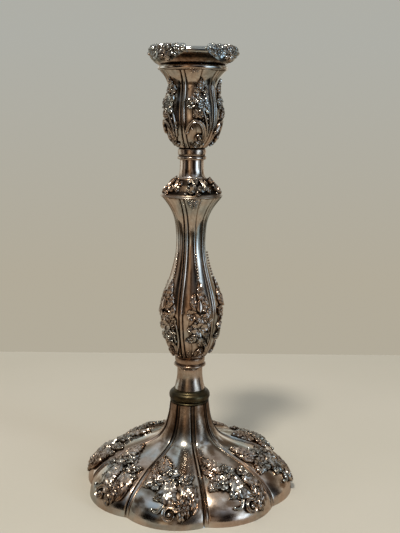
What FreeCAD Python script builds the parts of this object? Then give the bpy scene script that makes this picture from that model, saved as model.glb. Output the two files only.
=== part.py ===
"""Plated candlestick, 270 mm tall: a loaded stick in stamped and turned pieces, and a lift-out nozzle.

The origin is the middle of the face that it stands on, and +Z runs up the stem. The foot has eight
convex lobes, the baluster and the socket have five panels, and every lobe and panel carries the same
applied spray. Turned pieces are PartDesign revolutions. The lobed shells and what is soldered to them
are lofts, which read their sizes from the sheet.
"""
import FreeCAD, Part
import math
import os
import re

import Sketcher

LOBES = 8
PANELS = 5
BORDERS = 4
SCROLLS = 10

# Driving dimensions in millimetres: alias, value, what it is.
SIZES = (
    ("foot_radius", 65.6, "axis to the tip of a lobe"),
    ("foot_top", 54.0, "where the foot shell meets the collar"),
    ("rim_height", 3.2, "band round the foot"),
    ("rim_width", 2.6, "thickness of that band"),
    ("baize_thick", 1.0, "baize under the foot"),
    ("sheet_thick", 0.8, "stamped metal of the shells"),
    ("collar_top", 60.0, "top of the knop on the foot"),
    ("collar_radius", 10.9, "flat of the knop, inside its round"),
    ("collar_round", 3.4, "radius of the knop's round"),
    ("lower_neck_top", 77.0, "top of the neck under the baluster"),
    ("lower_neck_foot", 12.0, "radius where the lower neck flares to the knop"),
    ("lower_neck_waist", 7.8, "thinnest radius of the lower neck"),
    ("baluster_bottom", 84.0, "where the baluster shell starts"),
    ("lower_ring_radius", 9.2, "ring under the baluster"),
    ("baluster_top", 182.2, "sharp edge of the shoulder"),
    ("belly_radius", 18.4, "widest radius of the baluster"),
    ("shoulder_radius", 18.4, "radius of the sharp shoulder edge"),
    ("shoulder_top", 193.0, "top of the sloped shoulder cap"),
    ("upper_neck_foot", 9.3, "radius where the cap meets the upper neck"),
    ("upper_neck_top", 204.0, "top of the upper neck"),
    ("upper_neck_waist", 7.1, "thinnest radius of the upper neck"),
    ("socket_bottom", 211.0, "where the socket shell starts"),
    ("socket_ring_radius", 8.5, "ring under the socket"),
    ("socket_radius", 16.8, "widest radius of the socket's belly"),
    ("socket_top", 255.0, "underside of the socket's rim bead"),
    ("socket_rim_radius", 19.2, "radius where the rim bead's round starts"),
    ("socket_rim_top", 258.2, "top of the socket"),
    ("sleeve_bore", 12.1, "radius of the lining that guides the nozzle"),
    ("sleeve_thick", 0.6, "wall of that lining"),
    ("sleeve_bottom", 222.0, "floor that the lining stands on"),
    ("floor_thick", 2.0, "thickness of that floor"),
    ("nozzle_seat", 258.6, "underside of the nozzle where it rests"),
    ("nozzle_lip", 261.4, "mouth of the candle bore"),
    ("nozzle_radius", 24.2, "middle of the wire round the drip pan"),
    ("nozzle_wire", 1.4, "radius of that wire"),
    ("candle_radius", 11.2, "bore for the candle"),
    ("tube_thick", 0.6, "wall of the candle tube"),
    ("candle_depth", 25.0, "depth of the candle bore"),
    ("rod_radius", 2.5, "iron rod up the stem"),
    ("rod_bottom", 3.8, "lower end of the rod"),
    ("rod_clearance", 0.3, "gap between the rod and a bored ring"),
    ("nut_radius", 5.6, "corner radius of the nut"),
    ("nut_thick", 4.0, "height of the nut"),
    ("washer_radius", 10.0, "washer on the nut"),
    ("washer_thick", 1.6, "thickness of the washer"),
    ("boss_radius", 4.5, "brass plug that the rod screws into"),
    ("spray_relief", 2.3, "how far a spray stands off the foot"),
    ("stem_relief", 1.9, "how far a spray stands off the stem and the socket"),
    ("scroll_relief", 1.3, "how far a scroll stands off the shoulder"),
)

# Sections of the lobed shells from bottom to top: height and lobe radius as shares of the two driving
# sizes of that shell. The first and the last lie just past its ends, where the solid is trimmed.
FOOT_SECTIONS = (
    (0.0, 1.0), (0.06, 0.991), (0.12, 0.972), (0.185, 0.934), (0.26, 0.864), (0.333, 0.768),
    (0.398, 0.667), (0.444, 0.563), (0.485, 0.467), (0.526, 0.382), (0.58, 0.305), (0.657, 0.252),
    (0.741, 0.222), (0.852, 0.200), (1.0, 0.184), (1.06, 0.182),
)
BALUSTER_SECTIONS = (
    (-0.02, 0.51), (0.0, 0.57), (0.04, 0.70), (0.09, 0.805), (0.155, 0.90), (0.235, 0.972),
    (0.315, 0.99), (0.40, 0.885), (0.49, 0.728), (0.58, 0.59), (0.66, 0.511), (0.735, 0.489),
    (0.80, 0.508), (0.865, 0.565), (0.917, 0.68), (0.957, 0.82), (0.987, 0.95), (1.0, 1.0),
    (1.015, 1.05),
)
SOCKET_SECTIONS = (
    (-0.04, 0.44), (0.0, 0.512), (0.05, 0.64), (0.10, 0.75), (0.16, 0.84), (0.23, 0.915),
    (0.32, 0.967), (0.41, 0.995), (0.50, 1.0), (0.59, 0.964), (0.68, 0.905), (0.78, 0.863),
    (0.85, 0.89), (0.905, 0.95), (0.95, 1.03), (1.0, 1.15), (1.03, 1.24),
)
# Radius at the groove between two lobes, as a share of the radius at the crest.
FOOT_CUSP = 0.938
BALUSTER_CUSP = 0.95
SOCKET_CUSP = 0.965

# Turn of the first lobe's or panel's middle from -Y towards +X, in degrees.
FOOT_TURN = -12.9
STEM_TURN = 16.5
NOZZLE_TURN = 49.0

# Spray outlines. On the foot: share of the foot radius, degrees from the lobe's middle.
FOOT_SPRAY = (
    (0.44, -15), (0.55, -7), (0.66, 12), (0.78, 17), (0.90, 18), (0.965, 14),
    (0.95, 5), (0.88, -1), (0.82, -10), (0.74, -18), (0.60, -18),
)
# On the stem and the socket: degrees from the panel's middle, height in millimetres.
BALUSTER_SPRAY = (
    (2, 132), (9, 125), (22, 112), (27, 103), (21, 93), (10, 86),
    (-6, 87), (-12, 94), (-26, 98), (-19, 107), (-15, 115), (-5, 126),
)
SOCKET_SPRAY = (
    (2, 250), (9, 243), (15, 235), (20, 225), (13, 217), (0, 213),
    (-14, 214), (-27, 222), (-21, 230), (-28, 237), (-12, 241), (-4, 246),
)


def make_sheet(doc):
    """The spreadsheet of driving dimensions."""
    sheet = doc.addObject("Spreadsheet::Sheet", "Dims")
    for row, (alias, value, meaning) in enumerate(SIZES, start=1):
        sheet.set(f"A{row}", str(value))
        sheet.set(f"B{row}", meaning)
        sheet.setAlias(f"A{row}", alias)
    doc.recompute()
    return sheet


class Model:
    """The document, its sheet, and the sub-parts in the order in which they are made."""

    def __init__(self):
        self.doc = FreeCAD.newDocument("candlestick")
        self.sheet = make_sheet(self.doc)
        self.parts = []

    def size(self, text):
        """The value of a formula in the sheet's aliases."""
        return float(self.sheet.evalExpression(text))

    def bind(self, owner, path, text):
        """Bind a property or a constraint to a formula in the sheet's aliases."""
        owner.setExpression(path, re.sub(r"[a-z][a-z_]+", lambda word: "Dims." + word.group(0), text))

    def keep(self, part, name):
        """Name a finished sub-part."""
        part.Label = name
        self.parts.append(part)
        return part

    def keep_shape(self, name, shape, turn=0):
        """Keep a shape that was made with Part's own functions as a sub-part, turned about the axis."""
        part = self.doc.addObject("Part::Feature", name)
        part.Shape = shape
        upright = FreeCAD.Vector(0, 0, 1)
        part.Placement = FreeCAD.Placement(FreeCAD.Vector(), FreeCAD.Rotation(upright, turn))
        return self.keep(part, name)


# ---------------------------------------------------------------- turned pieces

def arc_middle(start, end, radius):
    """The middle of the arc of that radius from start to end; a negative radius bulges the other way."""
    chord = end - start
    half = chord.Length / 2
    sagitta = abs(radius) - math.sqrt(radius * radius - half * half)
    side = FreeCAD.Vector(chord.y, -chord.x, 0).normalize()
    return start + chord * 0.5 + side * math.copysign(sagitta, radius)


def half_section(model, body, name, corners):
    """A closed sketch in the XZ plane: (radius, height) corners, each with the round of the next run."""
    sketch = body.newObject("Sketcher::SketchObject", name + "_section")
    plane = [face for face in body.Origin.OriginFeatures if face.Role == "XZ_Plane"][0]
    sketch.AttachmentSupport = (plane, [""])
    sketch.MapMode = "FlatFace"
    points = [FreeCAD.Vector(model.size(corner[0]), model.size(corner[1]), 0) for corner in corners]
    for index, corner in enumerate(corners):
        start = points[index]
        end = points[(index + 1) % len(points)]
        if len(corner) == 3:
            middle = arc_middle(start, end, model.size(corner[2]))
            sketch.addGeometry(Part.Arc(start, middle, end), False)
        else:
            sketch.addGeometry(Part.LineSegment(start, end), False)
    starts = [start_point(sketch, index, point) for index, point in enumerate(points)]
    for index, corner in enumerate(corners):
        after = (index + 1) % len(corners)
        own_end = 3 - starts[index]
        sketch.addConstraint(Sketcher.Constraint("Coincident", index, own_end, after, starts[after]))
        across = sketch.addConstraint(
            Sketcher.Constraint("DistanceX", -1, 1, index, starts[index], points[index].x))
        model.bind(sketch, f"Constraints[{across}]", corner[0])
        up = sketch.addConstraint(
            Sketcher.Constraint("DistanceY", -1, 1, index, starts[index], points[index].y))
        model.bind(sketch, f"Constraints[{up}]", corner[1])
        if len(corner) == 3:
            bend = sketch.addConstraint(
                Sketcher.Constraint("Radius", index, abs(model.size(corner[2]))))
            model.bind(sketch, f"Constraints[{bend}]", corner[2].lstrip("-"))
    return sketch


def start_point(sketch, index, point):
    """Which end of that edge, 1 or 2, lies on the point; an arc may run the other way round."""
    near = (sketch.getPoint(index, 1) - point).Length < (sketch.getPoint(index, 2) - point).Length
    return 1 if near else 2


def turned(model, name, corners):
    """A body turned about the stick's axis."""
    body = model.doc.addObject("PartDesign::Body", name)
    sketch = half_section(model, body, name, corners)
    spin = body.newObject("PartDesign::Revolution", name + "_turned")
    spin.Profile = sketch
    spin.ReferenceAxis = (sketch, ["V_Axis"])
    spin.Angle = 360
    return model.keep(body, name)


def make_collar(model):
    """The worn knop between the foot and the lower neck."""
    bore = "rod_radius + rod_clearance"
    turned(model, "foot_collar", (
        (bore, "foot_top"), ("collar_radius", "foot_top", "collar_round"),
        ("collar_radius", "collar_top"), (bore, "collar_top"),
    ))


def make_lower_neck(model):
    """The spool under the baluster and the ring that caps it."""
    bore = "rod_radius + rod_clearance"
    turned(model, "lower_neck", (
        (bore, "collar_top"), ("lower_neck_foot", "collar_top"),
        ("lower_neck_foot - 0.4", "collar_top + 1.2", "-9.5"),
        ("lower_neck_waist + 0.5", "collar_top + 8"), ("lower_neck_waist", "collar_top + 12"),
        ("lower_neck_waist", "lower_neck_top - 1"), ("lower_neck_waist + 0.8", "lower_neck_top"),
        (bore, "lower_neck_top"),
    ))
    turned(model, "lower_ring", (
        (bore, "lower_neck_top"), ("lower_ring_radius", "lower_neck_top", "0.75"),
        ("lower_ring_radius", "lower_neck_top + 1.4"),
        ("lower_ring_radius - 0.3", "lower_neck_top + 1.8", "5.5"),
        ("lower_ring_radius", "baluster_bottom - 1"), ("lower_ring_radius + 1.2", "baluster_bottom"),
        (bore, "baluster_bottom"),
    ))


def make_shoulder(model):
    """The sloped cap on the baluster and the neck above it."""
    turned(model, "shoulder_cap", (
        ("shoulder_radius - 1.4", "baluster_top"), ("shoulder_radius", "baluster_top"),
        ("shoulder_radius - 0.2", "baluster_top + 0.9", "-60"), ("upper_neck_foot", "shoulder_top"),
        ("boss_radius", "shoulder_top"), ("boss_radius", "shoulder_top - 1"),
        ("upper_neck_foot - 0.6", "shoulder_top - 1", "58"),
    ))
    turned(model, "upper_neck", (
        ("boss_radius", "shoulder_top"), ("upper_neck_foot", "shoulder_top", "-6"),
        ("upper_neck_waist + 0.3", "shoulder_top + 3.6"), ("upper_neck_waist", "shoulder_top + 5.6"),
        ("upper_neck_waist", "upper_neck_top"), ("boss_radius", "upper_neck_top"),
    ))


def make_socket_rings(model):
    """The ring under the socket, its floor, its lining and its rim bead."""
    turned(model, "socket_ring", (
        ("0", "upper_neck_top"), ("socket_ring_radius - 0.6", "upper_neck_top", "0.9"),
        ("socket_ring_radius", "upper_neck_top + 1"), ("socket_ring_radius", "socket_bottom - 1", "0.9"),
        ("socket_ring_radius - 0.6", "socket_bottom"), ("0", "socket_bottom"),
    ))
    outer = "sleeve_bore + sleeve_thick"
    turned(model, "socket_floor", (
        ("0", "sleeve_bottom - floor_thick"), (outer, "sleeve_bottom - floor_thick"),
        (outer, "sleeve_bottom"), ("0", "sleeve_bottom"),
    ))
    turned(model, "socket_sleeve", (
        ("sleeve_bore", "sleeve_bottom"), (outer, "sleeve_bottom"),
        (outer, "socket_rim_top"), ("sleeve_bore", "socket_rim_top"),
    ))
    turned(model, "socket_rim", (
        (outer, "socket_top + 1.6"), ("socket_rim_radius - 1.8", "socket_top + 1.6"),
        ("socket_rim_radius - 1", "socket_top"), ("socket_rim_radius", "socket_top", "1.65"),
        ("socket_rim_radius", "socket_rim_top"), (outer, "socket_rim_top"),
    ))


def make_rod(model):
    """The iron rod that holds the stick together."""
    body = model.doc.addObject("PartDesign::Body", "tie_rod")
    sketch = flat_sketch(body, "tie_rod_round")
    round_edge = sketch.addGeometry(Part.Circle(FreeCAD.Vector(), FreeCAD.Vector(0, 0, 1), 2), False)
    sketch.addConstraint(Sketcher.Constraint("Coincident", round_edge, 3, -1, 1))
    bar = sketch.addConstraint(Sketcher.Constraint("Radius", round_edge, 2))
    model.bind(sketch, f"Constraints[{bar}]", "rod_radius")
    model.bind(sketch, "AttachmentOffset.Base.z", "rod_bottom")
    pad = body.newObject("PartDesign::Pad", "tie_rod_bar")
    pad.Profile = sketch
    model.bind(pad, "Length", "upper_neck_top - rod_bottom")
    model.keep(body, "tie_rod")


def make_rod_ends(model):
    """The nut and the washer under the filling, and the brass plug that the rod screws into."""
    nut = model.doc.addObject("PartDesign::Body", "rod_nut")
    sketch = flat_sketch(nut, "rod_nut_hexagon")
    hexagon(model, sketch)
    model.bind(sketch, "AttachmentOffset.Base.z", "rim_height")
    pad = nut.newObject("PartDesign::Pad", "rod_nut_height")
    pad.Profile = sketch
    model.bind(pad, "Length", "nut_thick")
    model.keep(nut, "rod_nut")

    turned(model, "rod_washer", (
        ("rod_radius", "rim_height + nut_thick"), ("washer_radius", "rim_height + nut_thick"),
        ("washer_radius", "rim_height + nut_thick + washer_thick"),
        ("rod_radius", "rim_height + nut_thick + washer_thick"),
    ))
    turned(model, "rod_boss", (
        ("rod_radius", "shoulder_top"), ("boss_radius", "shoulder_top"),
        ("boss_radius", "upper_neck_top"), ("rod_radius", "upper_neck_top"),
    ))


def flat_sketch(body, name):
    """A sketch in the body's own XY plane."""
    sketch = body.newObject("Sketcher::SketchObject", name)
    plane = [face for face in body.Origin.OriginFeatures if face.Role == "XY_Plane"][0]
    sketch.AttachmentSupport = (plane, [""])
    sketch.MapMode = "FlatFace"
    return sketch


def hexagon(model, sketch):
    """The nut's outline round the bore for the rod."""
    corner = model.size("nut_radius")
    tips = [FreeCAD.Vector(corner * math.cos(math.radians(60 * turn)),
                           corner * math.sin(math.radians(60 * turn)), 0) for turn in range(6)]
    for turn in range(6):
        sketch.addGeometry(Part.LineSegment(tips[turn], tips[(turn + 1) % 6]), False)
    guide = sketch.addGeometry(Part.Circle(FreeCAD.Vector(), FreeCAD.Vector(0, 0, 1), corner), True)
    bore = sketch.addGeometry(Part.Circle(FreeCAD.Vector(), FreeCAD.Vector(0, 0, 1), 2), False)
    for turn in range(6):
        sketch.addConstraint(Sketcher.Constraint("Coincident", turn, 2, (turn + 1) % 6, 1))
        sketch.addConstraint(Sketcher.Constraint("PointOnObject", turn, 1, guide))
    for turn in range(5):
        sketch.addConstraint(Sketcher.Constraint("Equal", turn, turn + 1))
    sketch.addConstraint(Sketcher.Constraint("Coincident", guide, 3, -1, 1))
    sketch.addConstraint(Sketcher.Constraint("Coincident", bore, 3, -1, 1))
    sketch.addConstraint(Sketcher.Constraint("PointOnObject", 0, 1, -1))
    tip = sketch.addConstraint(Sketcher.Constraint("Radius", guide, corner))
    model.bind(sketch, f"Constraints[{tip}]", "nut_radius")
    hole = sketch.addConstraint(Sketcher.Constraint("Radius", bore, 2))
    model.bind(sketch, f"Constraints[{hole}]", "rod_radius")


# ---------------------------------------------------------------- lobed shells

def on_circle(radius, turn, height=0.0):
    """The point at that radius, turned from -Y towards +X, at that height."""
    angle = math.radians(turn)
    return FreeCAD.Vector(radius * math.sin(angle), -radius * math.cos(angle), height)


def lobed_wire(count, first, radius, cusp, height):
    """A closed outline of convex arcs that meet in cusps; first is the turn of one lobe's crest."""
    step = 360 / count
    edges = []
    for lobe in range(count):
        crest = first + lobe * step
        left = on_circle(radius * cusp, crest - step / 2, height)
        right = on_circle(radius * cusp, crest + step / 2, height)
        edges.append(Part.Arc(left, on_circle(radius, crest, height), right).toShape())
    return Part.Wire(edges)


def slab(low, high):
    """A thick disc, wider than the object, that trims a solid between two heights."""
    return Part.makeCylinder(200, high - low, FreeCAD.Vector(0, 0, low))


class Lobed:
    """A shell's lobed form: solids that follow it at any distance inside or outside its surface."""

    def __init__(self, count, first, cusp, stations):
        self.count = count
        self.first = first
        self.cusp = cusp
        self.stations = stations

    def solid(self, offset, low, high):
        """The form moved out by offset, or in when it is negative, between two heights."""
        wires = []
        last = len(self.stations) - 1
        for index, (height, radius) in enumerate(self.stations):
            below = self.stations[max(index - 1, 0)]
            above = self.stations[min(index + 1, last)]
            rise = above[0] - below[0]
            growth = above[1] - below[1]
            length = math.hypot(rise, growth)
            wires.append(lobed_wire(self.count, self.first, radius + offset * rise / length, self.cusp,
                                    height - offset * growth / length))
        return Part.makeLoft(wires, True, False).common(slab(low, high))


def stations(sections, bottom, top, radius):
    """Heights and radii of a shell from its shares."""
    return [(bottom + share * (top - bottom), part * radius) for share, part in sections]


def closed_curve(points):
    """A face inside a smooth closed curve through the points."""
    curve = Part.BSplineCurve()
    curve.interpolate(Points=points, PeriodicFlag=True)
    return Part.Face(Part.Wire([curve.toShape()]))


def spin_copy(shape, turn):
    """A copy turned about the stick's axis."""
    copy = shape.copy()
    copy.rotate(FreeCAD.Vector(), FreeCAD.Vector(0, 0, 1), turn)
    return copy


def make_foot(model):
    """The foot's shell, band, filling, board, baize and sprays."""
    size = model.size
    radius = size("foot_radius")
    rim = size("rim_height")
    top = size("foot_top")
    form = Lobed(LOBES, FOOT_TURN, FOOT_CUSP, stations(FOOT_SECTIONS, 0, top, radius))
    outer = form.solid(0, rim, top)
    inner = form.solid(-size("sheet_thick"), rim, top)
    model.keep_shape("foot_shell", outer.cut(inner))

    lining = Part.Face(lobed_wire(LOBES, FOOT_TURN, radius - size("rim_width"), FOOT_CUSP, 0))
    model.keep_shape("foot_rim_band", form.solid(0, 0, rim).cut(
        lining.extrude(FreeCAD.Vector(0, 0, rim))))

    baize = size("baize_thick")
    model.keep_shape("baize_pad", lining.extrude(FreeCAD.Vector(0, 0, baize)))
    lining.translate(FreeCAD.Vector(0, 0, baize))
    model.keep_shape("base_board", lining.extrude(FreeCAD.Vector(0, 0, rim - baize)))

    washer_top = rim + size("nut_thick + washer_thick")
    nut_room = Part.makeCylinder(size("washer_radius"), washer_top - rim, FreeCAD.Vector(0, 0, rim))
    rod = Part.makeCylinder(size("rod_radius"), top, FreeCAD.Vector(0, 0, rim))
    model.keep_shape("foot_loading", inner.cut(nut_room).cut(rod))

    skin = form.solid(size("spray_relief"), rim, top).cut(outer)
    outline = [on_circle(share * radius, FOOT_TURN + turn) for share, turn in FOOT_SPRAY]
    first = closed_curve(outline).extrude(FreeCAD.Vector(0, 0, top)).common(skin)
    for lobe in range(LOBES):
        model.keep_shape(f"base_spray_{lobe + 1}", first, lobe * 360 / LOBES)


def panel_sprays(model, form, outline, low, high, reach, name):
    """Five sprays on the panels of a form, cut from a skin over it by an outline pushed outwards."""
    skin = form.solid(model.size("stem_relief"), low, high).cut(form.solid(0, low, high))
    points = [FreeCAD.Vector(reach * math.sin(math.radians(turn)), 0, height) for turn, height in outline]
    first = closed_curve(points).extrude(FreeCAD.Vector(0, -2 * reach, 0))
    first = spin_copy(first, STEM_TURN).common(skin)
    for panel in range(PANELS):
        model.keep_shape(f"{name}_{panel + 1}", first, panel * 360 / PANELS)


def make_baluster(model):
    """The baluster's shell, its filling and its sprays."""
    size = model.size
    bottom = size("baluster_bottom")
    top = size("baluster_top")
    form = Lobed(PANELS, STEM_TURN, BALUSTER_CUSP,
                 stations(BALUSTER_SECTIONS, bottom, top, size("belly_radius")))
    inner = form.solid(-size("sheet_thick"), bottom, top)
    model.keep_shape("baluster_shell", form.solid(0, bottom, top).cut(inner))
    rod = Part.makeCylinder(size("rod_radius"), top - bottom, FreeCAD.Vector(0, 0, bottom))
    filling_top = top - 2
    model.keep_shape("stem_loading", inner.cut(rod).common(slab(bottom, filling_top)))
    panel_sprays(model, form, BALUSTER_SPRAY, bottom, top, size("belly_radius"), "baluster_spray")


def make_socket(model):
    """The socket's shell and its sprays."""
    size = model.size
    bottom = size("socket_bottom")
    top = size("socket_top")
    form = Lobed(PANELS, STEM_TURN, SOCKET_CUSP,
                 stations(SOCKET_SECTIONS, bottom, top, size("socket_radius")))
    hollow = form.solid(-size("sheet_thick"), bottom, top)
    model.keep_shape("socket_shell", form.solid(0, bottom, top).cut(hollow))
    panel_sprays(model, form, SOCKET_SPRAY, bottom, top, size("socket_radius"), "socket_spray")


def make_shoulder_scrolls(model, cap):
    """Ten scrolls round the shoulder cap, separate solids in one sub-part."""
    size = model.size
    axis = FreeCAD.Vector(0, 0, 1)
    low = size("baluster_top") + 1.5
    high = size("shoulder_top")
    core = Part.makeCylinder(size("upper_neck_foot"), high - low, FreeCAD.Vector(0, 0, low))
    filled = cap.Shape.fuse(core)
    raised = filled.copy()
    raised.translate(axis * size("scroll_relief"))
    skin = raised.cut(filled).common(slab(low, high))
    inside = size("upper_neck_foot") + 1.2
    outside = size("shoulder_radius") - 1.2
    ring = Part.makeCylinder(outside, high).cut(Part.makeCylinder(inside, high))
    half = 13
    sector = Part.Face(Part.makePolygon([
        FreeCAD.Vector(), on_circle(2 * outside, -half), on_circle(2 * outside, half),
        FreeCAD.Vector()])).extrude(axis * high)
    first = spin_copy(sector.common(ring), STEM_TURN + 18).common(skin)
    scrolls = [spin_copy(first, turn * 360 / SCROLLS) for turn in range(SCROLLS)]
    model.keep_shape("shoulder_scrolls", Part.makeCompound(scrolls))


# ---------------------------------------------------------------- nozzle

def make_nozzle(model):
    """The lift-out nozzle: candle tube, drip pan, the wire round it and four border mounts."""
    size = model.size
    tube = "candle_radius + tube_thick"
    bottom = "nozzle_lip - candle_depth"
    turned(model, "nozzle_tube", (
        ("0", bottom + " - 0.8"), (tube, bottom + " - 0.8"), (tube, "nozzle_lip"),
        ("candle_radius", "nozzle_lip"), ("candle_radius", bottom), ("0", bottom),
    ))
    seat = "nozzle_seat"
    wire = wire_torus(model)
    pan_body = turned(model, "drip_pan_blank", (
        (tube, seat + " + 1.4"), ("candle_radius + 3.4", seat + " + 1"), ("candle_radius + 4", seat),
        ("candle_radius + 7.6", seat), ("candle_radius + 9", seat + " + 2"),
        ("candle_radius + 9.8", seat + " + 4"), ("nozzle_radius", seat + " + 5.2"),
        ("nozzle_radius", seat + " + 8.2"), ("nozzle_radius - 1.4", seat + " + 8", "-9"),
        ("candle_radius + 6", seat + " + 4.2", "-20"), (tube, "nozzle_lip"),
    ))
    model.parts.remove(pan_body)
    pan = model.doc.addObject("Part::Cut", "nozzle_pan")
    pan.Base = pan_body
    pan.Tool = wire
    model.keep(pan, "nozzle_pan")
    model.doc.recompute()

    radius = size("nozzle_radius")
    level = size("nozzle_seat")
    section = [(radius - 1.6, level - 1.2), (radius + 0.6, level - 0.4), (radius + 2.0, level + 4.4),
               (radius + 1.7, level + 8.2), (radius - 1.6, level + 11.4), (radius - 4.2, level + 10.4),
               (radius - 4.0, level + 6.0), (radius - 1.8, level + 5.0)]
    face = closed_curve([FreeCAD.Vector(across, 0, up) for across, up in section])
    width = 58
    face.rotate(FreeCAD.Vector(), FreeCAD.Vector(0, 0, 1), NOZZLE_TURN - 90 - width / 2)
    sector = face.revolve(FreeCAD.Vector(), FreeCAD.Vector(0, 0, 1), width)
    first = sector.cut(pan.Shape).cut(wire.Shape)
    for border in range(BORDERS):
        model.keep_shape(f"nozzle_border_{border + 1}", first, border * 360 / BORDERS)


def wire_torus(model):
    """The wire soldered round the drip pan."""
    wire = model.doc.addObject("Part::Torus", "nozzle_rim_wire")
    model.bind(wire, "Radius1", "nozzle_radius")
    model.bind(wire, "Radius2", "nozzle_wire")
    model.bind(wire, "Placement.Base.z", "nozzle_seat + 6.6")
    return model.keep(wire, "nozzle_rim_wire")


def check(model):
    """Stop if any object failed, or a sub-part's shape is missing or not valid."""
    for item in model.doc.Objects:
        if "Invalid" in item.State or "Error" in item.State:
            raise RuntimeError(f"{item.Name} failed: {item.State}")
    for part in model.parts:
        if part.Shape.isNull() or not part.Shape.isValid() or not part.Shape.Solids:
            raise RuntimeError(f"{part.Label} has no valid solid")


def main():
    model = Model()
    make_foot(model)
    make_collar(model)
    make_lower_neck(model)
    make_baluster(model)
    make_shoulder(model)
    model.doc.recompute()
    make_shoulder_scrolls(model, model.doc.getObject("shoulder_cap"))
    make_rod(model)
    make_rod_ends(model)
    make_socket_rings(model)
    make_socket(model)
    make_nozzle(model)
    model.doc.recompute()
    check(model)
    os.makedirs("parts", exist_ok=True)
    for part in model.parts:
        part.Shape.exportStep(os.path.join("parts", part.Label + ".step"))
    print(f"{len(model.parts)} sub-parts written")


main()
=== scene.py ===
"""A plated candlestick: lobed shells, floral relief and tarnished silver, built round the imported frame."""
import math

import bmesh
import bpy
import numpy as np
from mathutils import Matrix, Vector
from mathutils.bvhtree import BVHTree


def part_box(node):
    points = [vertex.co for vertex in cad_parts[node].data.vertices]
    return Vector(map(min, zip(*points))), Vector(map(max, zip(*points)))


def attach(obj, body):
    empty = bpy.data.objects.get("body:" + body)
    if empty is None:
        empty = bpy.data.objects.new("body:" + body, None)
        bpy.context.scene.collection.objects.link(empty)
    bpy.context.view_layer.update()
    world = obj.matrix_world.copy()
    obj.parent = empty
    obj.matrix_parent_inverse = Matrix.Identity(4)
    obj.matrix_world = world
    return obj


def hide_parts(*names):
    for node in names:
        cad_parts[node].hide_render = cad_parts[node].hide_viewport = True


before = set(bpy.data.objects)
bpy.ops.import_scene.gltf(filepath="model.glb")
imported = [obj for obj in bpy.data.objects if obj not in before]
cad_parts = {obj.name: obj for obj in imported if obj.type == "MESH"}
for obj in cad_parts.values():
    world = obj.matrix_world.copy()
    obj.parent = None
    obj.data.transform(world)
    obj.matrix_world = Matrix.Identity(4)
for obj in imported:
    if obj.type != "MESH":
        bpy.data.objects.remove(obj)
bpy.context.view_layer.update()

MM = 0.001
RNG = np.random.default_rng(11)

LOBES = 8
PANELS = 5
BORDERS = 4
SCROLLS = 10
FOOT_TURN = -12.9
STEM_TURN = 16.5
NOZZLE_TURN = 49.0
FOOT_CUSP = 0.938
BALUSTER_CUSP = 0.95
SOCKET_CUSP = 0.965
SHELL_THICK = 0.7
TURNED_COLUMNS = 160
PETALS = 5

# Sections of the lobed shells, as the CAD has them: shares of the height and of the largest radius.
FOOT_SECTIONS = (
    (0.0, 1.0), (0.06, 0.991), (0.12, 0.972), (0.185, 0.934), (0.26, 0.864), (0.333, 0.768),
    (0.398, 0.667), (0.444, 0.563), (0.485, 0.467), (0.526, 0.382), (0.58, 0.305), (0.657, 0.252),
    (0.741, 0.222), (0.852, 0.200), (1.0, 0.184),
)
BALUSTER_SECTIONS = (
    (0.0, 0.57), (0.04, 0.70), (0.09, 0.805), (0.155, 0.90), (0.235, 0.972), (0.315, 0.99),
    (0.40, 0.885), (0.49, 0.728), (0.58, 0.59), (0.66, 0.511), (0.735, 0.489), (0.80, 0.508),
    (0.865, 0.565), (0.917, 0.68), (0.957, 0.82), (0.987, 0.95), (1.0, 1.0),
)
SOCKET_SECTIONS = (
    (0.0, 0.512), (0.05, 0.64), (0.10, 0.75), (0.16, 0.84), (0.23, 0.915), (0.32, 0.967),
    (0.41, 0.995), (0.50, 1.0), (0.59, 0.964), (0.68, 0.905), (0.78, 0.863), (0.85, 0.89),
    (0.905, 0.95), (0.95, 1.03), (1.0, 1.15),
)


# ---------------------------------------------------------------- measures taken from the frame

def span(node):
    """The lowest and the highest level of a node, in millimetres."""
    low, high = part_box(node)
    return low[2] / MM, high[2] / MM


def corners(mesh):
    """A mesh's vertices, one row of x, y and z for each."""
    spots = np.empty(len(mesh.vertices) * 3)
    mesh.vertices.foreach_get("co", spots)
    return spots.reshape(-1, 3)


def reach(node):
    """The largest distance from the axis to a vertex of a node, in millimetres."""
    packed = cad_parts[node]
    spots = corners(packed.data) @ np.array(packed.matrix_world.to_3x3()).T
    return float(np.hypot(spots[:, 0], spots[:, 1]).max()) / MM



# ---------------------------------------------------------------- forms

def smooth(points, fine=16):
    """A Catmull-Rom curve through the points."""
    points = np.asarray(points, float)
    padded = np.vstack([2 * points[0] - points[1], points, 2 * points[-1] - points[-2]])
    share = np.linspace(0, 1, fine, endpoint=False)[:, None]
    runs = []
    for index in range(1, len(padded) - 2):
        before, start, end, after = padded[index - 1:index + 3]
        runs.append(0.5 * (2 * start + (end - before) * share
                           + (2 * before - 5 * start + 4 * end - after) * share ** 2
                           + (3 * start - before - 3 * end + after) * share ** 3))
    return np.vstack(runs + [points[-1:]])


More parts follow.
